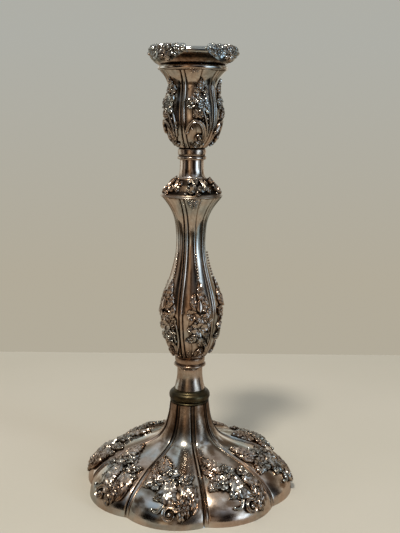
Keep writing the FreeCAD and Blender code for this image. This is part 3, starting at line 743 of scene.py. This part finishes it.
def make_shoulder_scrolls(mounts):
    """Ten scrolls on the slope of the shoulder cap, in five pairs."""
    bottom, top = span("shoulder_cap")
    wide = reach("shoulder_cap")
    tall = top - bottom
    form = Form([(wide * across, bottom + up * tall) for across, up in (
        (0.965, 0.10), (0.905, 0.22), (0.80, 0.42), (0.675, 0.66), (0.55, 0.90), (0.506, 1.0))])

    def at(level, turn):
        return float(level * form.length), middle + turn

    relief = Relief(form, at)
    for pair in range(PANELS):
        middle = STEM_TURN + pair * 360 / PANELS
        relief.scroll([at(0.42, -27), at(0.20, -22), at(0.22, -13), at(0.52, -9), at(0.80, -14),
                       at(0.84, -22), at(0.66, -26)], 1.9, 1.7, 0.4, (0.7, 1.0))
        relief.bead(at(0.52, -24.0), 0.9, 0.8)
        relief.scroll([at(0.62, -6), at(0.90, 0), at(0.88, 9), at(0.58, 14), at(0.30, 9), at(0.28, 2),
                       at(0.46, -1)], 1.9, 1.7, 0.4, (0.8, 1.0))
        relief.bead(at(0.50, 3.5), 1.0, 0.8)
        relief.leaves(((0.55, 12), (0.16, 24), 3.0, 1.3, -0.15, 0.5, 0.2),
            ((0.60, 14), (0.86, 26), 2.6, 1.2, 0.2, 0.5, 0.2),
            ((0.30, -8), (0.10, 2), 2.6, 1.2, 0.2, 0.5, 0.1))
        relief.bead(at(0.36, 17), 0.9, 0.6)
        relief.bead(at(0.70, 20), 0.7, 0.5)
        relief.bead(at(0.12, -29), 0.8, 0.4)
    return relief.piece("shoulder_curls", "stick", ["shoulder_scrolls"], mounts)


# ---------------------------------------------------------------- nozzle

def make_nozzle(silver, mounts):
    """The drip pan, and the four clusters on its edge, laid along the imported rim wire."""
    pan = turned_piece("drip_pan", (
        ((0.487, 0.17), (0.60, 0.12)), ((0.60, 0.12), (0.63, 0.0)), ((0.63, 0.0), (0.77, 0.0)),
        ((0.77, 0.0), (0.81, 0.10), (0.845, 0.25), (0.875, 0.46)),
        ((0.875, 0.46), (0.93, 0.53), (0.985, 0.62)),
        ((0.985, 0.62), (1.02, 0.76), (1.03, 0.90), (1.01, 1.03), (0.96, 1.08), (0.91, 1.0)),
        ((0.91, 1.0), (0.84, 0.76), (0.74, 0.56), (0.62, 0.43), (0.487, 0.34)),
        ((0.487, 0.34), (0.487, 0.17)),
    ), "nozzle_pan", "nozzle", silver)
    wire_level = sum(span("nozzle_rim_wire")) / 2
    wire_out = reach("nozzle_rim_wire")
    form = Form([
        (wire_out - 2.6, wire_level - 7.4), (wire_out - 0.9, wire_level - 5.8),
        (wire_out - 0.1, wire_level - 3.0), (wire_out, wire_level), (wire_out - 0.6, wire_level + 2.2),
        (wire_out - 2.6, wire_level + 2.8), (wire_out - 5.0, wire_level + 2.0),
    ])
    cluster = border_cluster(form, mounts)
    return [pan], repeat(cluster, "border_cluster", BORDERS, "nozzle_border", "nozzle")


def border_cluster(form, material):
    """Flowers, leaves and scrolls over the pan's edge: levels are shares of the way up and over."""
    def at(level, turn):
        ends = min(abs(turn) / 31, 1.05) ** 2
        low = 0.22 + 0.26 * ends
        high = 0.98 - 0.24 * ends
        return float((low + (high - low) * level) * form.length), NOZZLE_TURN + turn

    relief = Relief(form, at)
    relief.blade([at(0.5, -30), at(0.5, -15), at(0.5, 0), at(0.5, 15), at(0.5, 30)], 15, 0.5, pad_shape,
                 lambda along: 0.16 + 0.84 * np.sin(math.pi * (0.06 + 0.88 * along)) ** 1.1,
                 steps=24, across=15)
    relief.filler([at(0.5, -16), at(0.5, -5), at(0.5, 5), at(0.5, 16)], 5.2, 32, 2.4, 0.1)
    relief.filler([at(0.5, -29), at(0.5, -22), at(0.5, -16)], 2.2, 9, 2.0, 0.1)
    relief.filler([at(0.5, 16), at(0.5, 22), at(0.5, 29)], 2.2, 9, 2.0, 0.1)
    relief.flowers(((0.56, -1), 3.4, 0.9, 0.4, 0), ((0.66, -14), 2.7, 0.8, 0.3, 20),
        ((0.36, 11), 2.7, 0.9, 0.4, -20), ((0.72, 12), 2.5, 0.8, 0.3, 10), ((0.30, -12), 2.6, 0.8, 0.3, 40))
    relief.leaves(((0.55, 16), (0.50, 33), 4.4, 1.1, 0.1, 0.4, 0.1, 5),
        ((0.50, -16), (0.55, -33), 4.4, 1.1, 0.1, 0.4, 0.1, 5),
        ((0.25, 5), (0.04, 12), 4.0, 1.0, 0.2, 0.4, 0.1),
        ((0.25, -5), (0.04, -4), 4.0, 1.0, -0.2, 0.4, 0.1),
        ((0.20, -18), (0.12, -28), 3.4, 1.0, 0.1, 0.3, 0.1),
        ((0.25, 19), (0.16, 28), 3.4, 1.0, -0.1, 0.3, 0.1), ((0.82, 2), (0.98, 6), 3.6, 1.0, 0.1, 0.4, 0.1),
        ((0.82, -6), (0.98, -12), 3.6, 1.0, -0.1, 0.4, 0.1))
    relief.scroll([at(0.70, 20), at(0.82, 26), at(0.70, 31), at(0.56, 28)], 1.7, 1.0, 0.2, (0.8, 1.0))
    relief.scroll([at(0.36, -20), at(0.26, -26), at(0.36, -31), at(0.48, -28)], 1.7, 1.0, 0.2, (0.8, 1.0))
    relief.beads(0.6, (0.60, 8, 0.9), (0.40, -7, 0.9), (0.86, -22, 0.9), (0.66, -22, 0.8), (0.42, 21, 0.9),
        (0.88, 19, 0.8), (0.18, 0, 0.9), (0.62, -5, 0.8), (0.10, 19, 0.8), (0.12, -20, 0.8), (0.50, 9, 0.8),
        (0.92, -3, 0.8))
    return relief.piece("border_cluster_1", "nozzle", ["nozzle_border_1"], material)


# ---------------------------------------------------------------- painted shade in hollows, and tarnish

def hemisphere(count):
    """Directions spread over a hemisphere about +Z, closer together near the pole."""
    golden = math.pi * (3 - math.sqrt(5))
    share = (np.arange(count) + 0.5) / count
    flat = np.sqrt(share)
    return np.stack([flat * np.cos(golden * np.arange(count)), flat * np.sin(golden * np.arange(count)),
                     np.sqrt(1 - share)], axis=-1)


def whole_tree(pieces):
    """One search tree over pieces at rest."""
    points = []
    faces = []
    for piece in pieces:
        start = len(points)
        place = piece.matrix_basis
        points.extend(place @ vertex.co for vertex in piece.data.vertices)
        faces.extend(tuple(start + corner for corner in face.vertices) for face in piece.data.polygons)
    return BVHTree.FromPolygons(points, faces)


def hollow_at(tree, spot, normal, rays, far):
    """The share of the directions above a spot in which something stands close by."""
    side = normal.orthogonal().normalized()
    other = normal.cross(side)
    start = spot + normal * (0.08 * MM)
    shut = 0.0
    for ray in rays:
        heading = side * ray[0] + other * ray[1] + normal * ray[2]
        hit = tree.ray_cast(start, heading, far)
        if hit[0] is not None:
            shut += 1 - hit[3] / far
    return shut / len(rays)


# Pieces that are darker or brighter all over than what shuts them in accounts for.
DARKER = {
    "shoulder_curls": 0.06, "border_cluster_1": -0.09, "urn_spray_1": -0.05,
    "lower_spool": 0.12, "cup_ring": 0.16, "shoulder_slope": 0.22, "urn_ring": 0.10,
}


def mark_hollows(tree, piece, far=3.2 * MM, count=14, columns=None, sector=None, extra=None):
    """Store how shut in each vertex is, as the attribute hollow, which the silver shows as painted shade and
    tarnish.
    On a form that repeats itself, only the first sector of each row is worked out. Extra is added where it
    is given: painted shade under the drip pan's lip, and darker bands on the shells."""
    rays = hemisphere(count).tolist()
    mesh = piece.data
    values = np.zeros(len(mesh.vertices))
    for index, vertex in enumerate(mesh.vertices):
        if columns and index % columns >= sector:
            values[index] = values[index - index % columns + index % columns % sector]
        else:
            values[index] = hollow_at(tree, vertex.co, vertex.normal, rays, far)
    values += DARKER.get(piece.name, 0.0)
    if extra is not None:
        values += extra(corners(mesh) / MM)
    attribute = mesh.attributes.new("hollow", "FLOAT", "POINT")
    attribute.data.foreach_set("value", values)


def ease(values, low, high):
    """0 below low, 1 above high, and a soft step between them."""
    share = np.clip((values - low) / (high - low), 0, 1)
    return share * share * (3 - 2 * share)


def painted_shade_under_lip(spots):
    """Painted shade: the corner under the drip pan's lip is darkened."""
    across = np.hypot(spots[:, 0], spots[:, 1])
    low = spots[:, 2].min()
    inside = ease(across, 19.0, 20.4) * ease(-across, -25.6, -24.4)
    corner = 0.27 + 0.10 * ease(spots[:, 2], low + 2.2, low + 3.2)
    return corner * inside * ease(-spots[:, 2], -low - 6.9, -low - 5.6)


# ---------------------------------------------------------------- materials

class Nodes:
    """A few short cuts for making a node tree."""

    def __init__(self, tree):
        self.tree = tree

    def node(self, kind, **settings):
        made = self.tree.nodes.new(kind)
        for key, value in settings.items():
            setattr(made, key, value)
        return made

    def link(self, source, target):
        self.tree.links.new(source, target)

    def math(self, kind, first, second, clamp=False):
        made = self.node("ShaderNodeMath", operation=kind, use_clamp=clamp)
        for socket, value in zip(made.inputs, (first, second)):
            if isinstance(value, (int, float)):
                socket.default_value = value
            else:
                self.link(value, socket)
        return made.outputs["Value"]

    def ramp(self, source, stops):
        made = self.node("ShaderNodeValToRGB")
        band = made.color_ramp
        while len(band.elements) < len(stops):
            band.elements.new(0.5)
        for element, (place, colour) in zip(band.elements, stops):
            element.position = place
            element.color = (*colour, 1)
        self.link(source, made.inputs["Fac"])
        return made.outputs["Color"]

    def mix(self, kind, first, second):
        """Two colours added or multiplied."""
        made = self.node("ShaderNodeMix", data_type="RGBA", blend_type=kind)
        made.inputs["Factor"].default_value = 1.0
        self.link(first, made.inputs["A"])
        self.link(second, made.inputs["B"])
        return made.outputs["Result"]


class Shader(Nodes):
    """A material's node tree, placed by the object's own coordinates."""

    def __init__(self, name):
        self.material = bpy.data.materials.new(name)
        self.material.use_nodes = True
        super().__init__(self.material.node_tree)
        self.shader = self.tree.nodes["Principled BSDF"]
        self.place = self.node("ShaderNodeTexCoord").outputs["Object"]

    def noise(self, scale, detail=3.0, rough=0.55, stretch=(1, 1, 1)):
        mapping = self.node("ShaderNodeMapping")
        mapping.inputs["Scale"].default_value = stretch
        self.link(self.place, mapping.inputs["Vector"])
        made = self.node("ShaderNodeTexNoise")
        made.inputs["Scale"].default_value = scale
        made.inputs["Detail"].default_value = detail
        made.inputs["Roughness"].default_value = rough
        self.link(mapping.outputs["Vector"], made.inputs["Vector"])
        return made.outputs["Fac"]

    def tinted(self, colour, tone):
        """The colour with the faint blue and copper bloom of old silver over it."""
        bloom = ((0.40, (0.80, 0.93, 1.0)), (0.50, (1.0, 0.98, 0.95)), (0.60, (1.0, 0.90, 0.83)))
        return self.mix("MULTIPLY", colour, self.ramp(tone, bloom))

    def spread(self, source, low, high):
        """The source's 0 to 1 as low to high."""
        made = self.node("ShaderNodeMapRange")
        made.inputs["To Min"].default_value = low
        made.inputs["To Max"].default_value = high
        self.link(source, made.inputs["Value"])
        return made.outputs["Result"]

    def bump(self, parts):
        """Bumps on each other: (height, distance in metres) pairs."""
        normal = None
        for height, distance in parts:
            made = self.node("ShaderNodeBump")
            made.inputs["Strength"].default_value = 1.0
            made.inputs["Distance"].default_value = distance
            self.link(height, made.inputs["Height"])
            if normal is not None:
                self.link(normal, made.inputs["Normal"])
            normal = made.outputs["Normal"]
        self.link(normal, self.shader.inputs["Normal"])


def silver_material(name, stops, hollow_gain, patch_gain, base_tarnish, rough, dents):
    """Silver plate whose patches have gone brown and black, and whose hollows and carved lines are darkened
    with painted shade and tarnish.
    """
    made = Shader(name)
    hollow = made.node("ShaderNodeAttribute", attribute_name="hollow").outputs["Fac"]
    patches = made.noise(55, 4, 0.6)
    specks = made.noise(520, 3, 0.6)
    lines = made.node("ShaderNodeAttribute", attribute_name="lines").outputs["Fac"]
    # Painted shade: the hollow and lines attributes darken the colour and dull the gloss, together with the
    # tarnish that sits there.
    shut = made.math("ADD", made.math("MULTIPLY", hollow, hollow_gain), made.math("MULTIPLY", lines, 1.1))
    patch = made.math("MULTIPLY", made.math("SUBTRACT", patches, 0.5), patch_gain)
    speck = made.math("MULTIPLY", made.math("SUBTRACT", specks, 0.5), 0.35 * patch_gain)
    tarnish_and_shade = made.math("ADD", made.math("ADD", shut, patch), made.math("ADD", speck, base_tarnish), True)
    colour = made.tinted(made.ramp(tarnish_and_shade, stops), made.noise(42, 3, 0.5))
    made.link(colour, made.shader.inputs["Base Color"])
    made.shader.inputs["Metallic"].default_value = 1.0
    smear = made.math("MULTIPLY", made.noise(190, 3, 0.5), 0.08)
    shine = made.math("ADD", made.spread(tarnish_and_shade, rough, 0.44), smear)
    made.link(shine, made.shader.inputs["Roughness"])
    scratches = made.noise(900, 2, 0.5, (1, 1, 0.08))
    made.bump(((made.noise(95, 2, 0.5), dents * MM), (made.noise(420, 2, 0.5), 0.022 * MM),
               (scratches, 0.004 * MM)))
    return made.material


BRIGHT = (0.78, 0.725, 0.665)
WARM = (0.55, 0.455, 0.375)
BROWN = (0.19, 0.125, 0.08)
BLACK = (0.022, 0.016, 0.012)


def simple_material(name, colour, dark, metallic, rough, scale, bump):
    """A plain stuff with mottled colour, uneven gloss and a fine grain."""
    made = Shader(name)
    mottle = made.noise(scale, 4, 0.6)
    made.link(made.ramp(mottle, ((0.3, dark), (0.7, colour))), made.shader.inputs["Base Color"])
    made.shader.inputs["Metallic"].default_value = metallic
    made.link(made.spread(mottle, rough + 0.12, rough - 0.08), made.shader.inputs["Roughness"])
    made.bump(((made.noise(scale * 8, 3, 0.6), bump * MM),))
    return made.material


# ---------------------------------------------------------------- baize

def make_baize(material):
    """Green felt glued under the foot, cut to its lobes: its top, its edge and its underside."""
    low, top = span("baize_pad")
    widest = reach("baize_pad")
    form = Form([(widest, low), (widest, top)], LOBES, FOOT_TURN, FOOT_CUSP)
    columns = 320
    turns = np.arange(columns) * 360 / columns
    edge = widest * form.swell(turns)
    rings = [(share, low + 0.03) for share in (0.02, 0.35, 0.7, 0.97, 0.995)]
    rings += [(1.0, (low + top) / 2)]
    rings += [(share, top - 0.03) for share in (0.995, 0.97, 0.7, 0.35, 0.02)]
    angle = np.radians(turns)
    nap = RNG.normal(0, 0.012, (len(rings), columns))
    points = np.array([np.stack([share * edge * np.sin(angle), -share * edge * np.cos(angle),
                                 np.clip(level + rough, low + 0.01, top)], axis=-1)
                       for (share, level), rough in zip(rings, nap)]).reshape(-1, 3)
    faces = ring_faces(len(rings), columns)
    faces.append(tuple(range(columns)))
    faces.append(tuple(range((len(rings) - 1) * columns, len(rings) * columns)))
    piece = new_piece("baize_felt", points, faces, "stick", ["baize_pad"], material)
    outward(piece)
    return piece


# ---------------------------------------------------------------- stage, light and camera

def make_stage():
    """A pale table before a pale wall, and the soft light of a room."""
    floor = plane("table_top", (0, -0.865, 0), (3.0, 2.27))
    near = plane("table_reflected", (0, -0.09, 0.0001), (0.70, 0.68))
    cloth = Shader("table_cloth")
    weave = cloth.noise(700, 2, 0.6)
    cloth.link(cloth.ramp(cloth.noise(6, 2, 0.5), ((0.3, (0.60, 0.575, 0.50)), (0.7, (0.63, 0.60, 0.53)))),
               cloth.shader.inputs["Base Color"])
    cloth.shader.inputs["Roughness"].default_value = 0.9
    cloth.bump(((weave, 0.12 * MM),))
    dim = Shader("table_in_shade")
    dim.link(dim.ramp(dim.noise(14, 3, 0.6), ((0.35, (0.27, 0.215, 0.165)), (0.65, (0.45, 0.385, 0.31)))),
             dim.shader.inputs["Base Color"])
    dim.shader.inputs["Roughness"].default_value = 0.9
    for top, stuff in ((floor, cloth), (near, dim)):
        top.data.materials.append(stuff.material)
    floor.visible_glossy = False
    near.visible_camera = False
    near.visible_shadow = False
    near.visible_diffuse = False
    make_room()
    light("warm_lamp", (-0.27, -0.652, 1.50), 0.17, 0.17, 14, (1.0, 0.92, 0.80))
    window = light("cool_window", (1.05, -0.78, 0.62), 0.30, 0.80, 4, (0.80, 0.90, 1.0))
    window.visible_glossy = False
    bpy.context.scene.view_settings.view_transform = "Standard"


def plane(name, centre, size):
    mesh = bpy.data.meshes.new(name)
    half = (size[0] / 2, size[1] / 2)
    mesh.from_pydata([(centre[0] + x * half[0], centre[1] + y * half[1], centre[2])
                      for x, y in ((-1, -1), (1, -1), (1, 1), (-1, 1))], [], [(0, 1, 2, 3)])
    made = bpy.data.objects.new(name, mesh)
    bpy.context.scene.collection.objects.link(made)
    return made


def light(name, spot, wide, tall, watts, colour):
    """A soft rectangular light that faces the middle of the stem."""
    data = bpy.data.lights.new(name, "AREA")
    data.shape = "RECTANGLE"
    data.size = wide
    data.size_y = tall
    data.energy = watts
    data.color = colour
    lamp = bpy.data.objects.new(name, data)
    lamp.location = spot
    lamp.rotation_euler = (Vector((0, 0, 0.13)) - Vector(spot)).to_track_quat("-Z", "Y").to_euler()
    lamp.visible_camera = False
    bpy.context.scene.collection.objects.link(lamp)
    return lamp


def make_room():
    """The room that the silver reflects, by direction; the camera sees only its plain wall."""
    world = bpy.data.worlds.new("room")
    bpy.context.scene.world = world
    world.use_nodes = True
    room = Nodes(world.node_tree)
    room.tree.nodes.clear()
    place = room.node("ShaderNodeTexCoord").outputs["Generated"]
    parts = room.node("ShaderNodeSeparateXYZ")
    room.link(place, parts.inputs["Vector"])
    back = room.math("MULTIPLY", parts.outputs["Y"], -1.0)
    bearing = room.math("ARCTAN2", parts.outputs["X"], back)
    bearing = room.math("ADD", room.math("DIVIDE", bearing, 2 * math.pi), 0.5)
    wall = (0.36, 0.34, 0.29)
    dark = (0.012, 0.010, 0.009)
    around = room.ramp(bearing, (
        (0.00, wall), (0.20, wall), (0.25, (0.08, 0.06, 0.045)), (0.29, (0.22, 0.19, 0.16)),
        (0.325, dark), (0.385, dark), (0.41, (0.20, 0.14, 0.09)), (0.45, (0.36, 0.25, 0.16)),
        (0.48, (0.12, 0.085, 0.06)), (0.52, (0.06, 0.045, 0.035)), (0.545, dark), (0.585, dark),
        (0.612, (0.16, 0.16, 0.17)), (0.632, (0.78, 0.94, 1.08)), (0.69, (0.56, 0.72, 0.86)),
        (0.715, (0.11, 0.12, 0.13)), (0.745, dark), (0.775, dark), (0.81, wall), (1.0, wall),
    ))
    level = room.math("ADD", room.math("MULTIPLY", parts.outputs["Z"], 0.5), 0.5)
    upright = room.ramp(level, (
        (0.0, (0.10, 0.085, 0.07)), (0.36, (0.25, 0.22, 0.18)), (0.42, (0.9, 0.9, 0.9)),
        (0.59, (0.8, 0.8, 0.8)), (0.71, (0.44, 0.44, 0.44)), (0.80, (0.25, 0.25, 0.25)),
        (1.0, (0.1, 0.1, 0.1)),
    ))
    overhead = room.ramp(level, (
        (0.66, (0, 0, 0)), (0.80, (0.06, 0.062, 0.066)), (0.92, (0.17, 0.175, 0.185)),
        (1.0, (0.20, 0.195, 0.18)),
    ))
    clutter = room.node("ShaderNodeTexNoise")
    clutter.inputs["Scale"].default_value = 3.2
    clutter.inputs["Detail"].default_value = 2.0
    room.link(place, clutter.inputs["Vector"])
    things = room.ramp(clutter.outputs["Fac"], (
        (0.40, (0.30, 0.22, 0.16)), (0.50, (1.0, 0.96, 0.92)), (0.62, (1.5, 1.62, 1.78)),
    ))
    seen = room.mix("ADD", room.mix("MULTIPLY", around, upright), overhead)
    reflected = room.node("ShaderNodeBackground")
    reflected.inputs["Strength"].default_value = 1.7
    room.link(room.mix("MULTIPLY", seen, things), reflected.inputs["Color"])
    soft = room.node("ShaderNodeBackground")
    soft.inputs["Color"].default_value = (0.43, 0.42, 0.39, 1)
    plain = room.node("ShaderNodeBackground")
    backdrop = room.ramp(level, ((0.40, (0.445, 0.405, 0.32)), (0.54, (0.425, 0.425, 0.385))))
    room.link(backdrop, plain.inputs["Color"])
    rays = room.node("ShaderNodeLightPath")

    def choose(ray, others, own):
        """One light for a kind of ray, and another for all the others."""
        made = room.node("ShaderNodeMixShader")
        room.link(rays.outputs[ray], made.inputs["Fac"])
        room.link(others, made.inputs[1])
        room.link(own, made.inputs[2])
        return made.outputs["Shader"]

    lit = choose("Is Diffuse Ray", reflected.outputs["Background"], soft.outputs["Background"])
    both = choose("Is Camera Ray", lit, plain.outputs["Background"])
    room.link(both, room.node("ShaderNodeOutputWorld").inputs["Surface"])


def make_camera():
    """A camera a little above mid-height, close to the stick, tilted down and very slightly rolled."""
    data = bpy.data.cameras.new("camera")
    data.lens = 54
    data.sensor_width = 36
    camera = bpy.data.objects.new("camera", data)
    camera.location = (0, -0.478, 0.233)
    camera.rotation_mode = "XYZ"
    camera.rotation_euler = (math.radians(78.9), math.radians(-0.7), math.radians(-0.53))
    bpy.context.scene.collection.objects.link(camera)
    bpy.context.scene.camera = camera


# ---------------------------------------------------------------- the whole

def main():
    make_camera()
    make_stage()
    plate = silver_material("silver_plate", ((0.0, BRIGHT), (0.32, WARM), (0.60, BROWN), (0.85, BLACK)),
                            hollow_gain=1.6, patch_gain=1.15, base_tarnish=0.06, rough=0.07, dents=0.07)
    mounts = silver_material("silver_mounts", ((0.0, BRIGHT), (0.22, WARM), (0.42, BROWN), (0.68, BLACK)),
                             hollow_gain=1.5, patch_gain=0.5, base_tarnish=0.04, rough=0.15, dents=0.05)
    worn = simple_material("worn_plate", (0.13, 0.105, 0.055), (0.014, 0.012, 0.009), 1.0, 0.36, 130, 0.03)
    iron = simple_material("iron", (0.10, 0.095, 0.09), (0.04, 0.035, 0.03), 1.0, 0.6, 200, 0.05)
    brass = simple_material("brass", (0.72, 0.52, 0.22), (0.50, 0.34, 0.13), 1.0, 0.35, 150, 0.02)
    pitch = simple_material("pitch", (0.03, 0.025, 0.02), (0.012, 0.01, 0.008), 0.0, 0.55, 120, 0.2)
    board = simple_material("board", (0.42, 0.30, 0.18), (0.28, 0.19, 0.11), 0.0, 0.75, 60, 0.1)
    baize = simple_material("baize", (0.05, 0.13, 0.07), (0.03, 0.085, 0.045), 0.0, 0.95, 800, 0.25)
    kept = {"tie_rod": iron, "rod_nut": iron, "rod_washer": iron, "rod_boss": brass,
            "foot_loading": pitch, "stem_loading": pitch, "base_board": board, "socket_floor": plate,
            "socket_sleeve": plate, "nozzle_tube": plate, "nozzle_rim_wire": plate}
    for node, material in kept.items():
        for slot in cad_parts[node].material_slots:
            slot.material = material

    make_baize(baize)
    foot, foot_sprays = make_foot(plate, mounts)
    baluster, belly_sprays = make_baluster(plate, mounts)
    socket, urn_sprays = make_socket(plate, mounts)
    rings = make_turned(plate, worn)
    curls = make_shoulder_scrolls(mounts)
    pan, borders = make_nozzle(plate, mounts)

    everything = foot + foot_sprays + baluster + belly_sprays + socket + urn_sprays + rings + [curls]
    tree = whole_tree(everything + pan + borders)
    for piece in (foot_sprays[0], belly_sprays[0], urn_sprays[0], borders[0], curls):
        mark_hollows(tree, piece)
    # The foot's shell is made darker up towards its neck, and the baluster's shell darker below 86 to 96 mm.
    neck_from, neck_to = 27.0, 40.0
    for shell, lobes, extra in (
            (foot[0], LOBES, lambda spots: 0.29 * ease(spots[:, 2], neck_from, neck_to)),
            (baluster[0], PANELS, lambda spots: 0.12 * ease(-spots[:, 2], -96, -86)),
            (socket[0], PANELS, None)):
        columns = shell["columns"]
        mark_hollows(tree, shell, 2.6 * MM, 12, columns, columns // lobes, extra)
    for ring in rings:
        mark_hollows(tree, ring, 3.0 * MM, 16, TURNED_COLUMNS, 1)
    # Painted shade under the drip pan's lip is added to the pan's hollow values.
    mark_hollows(tree, pan[0], 3.0 * MM, 16, TURNED_COLUMNS, 1, painted_shade_under_lip)


main()
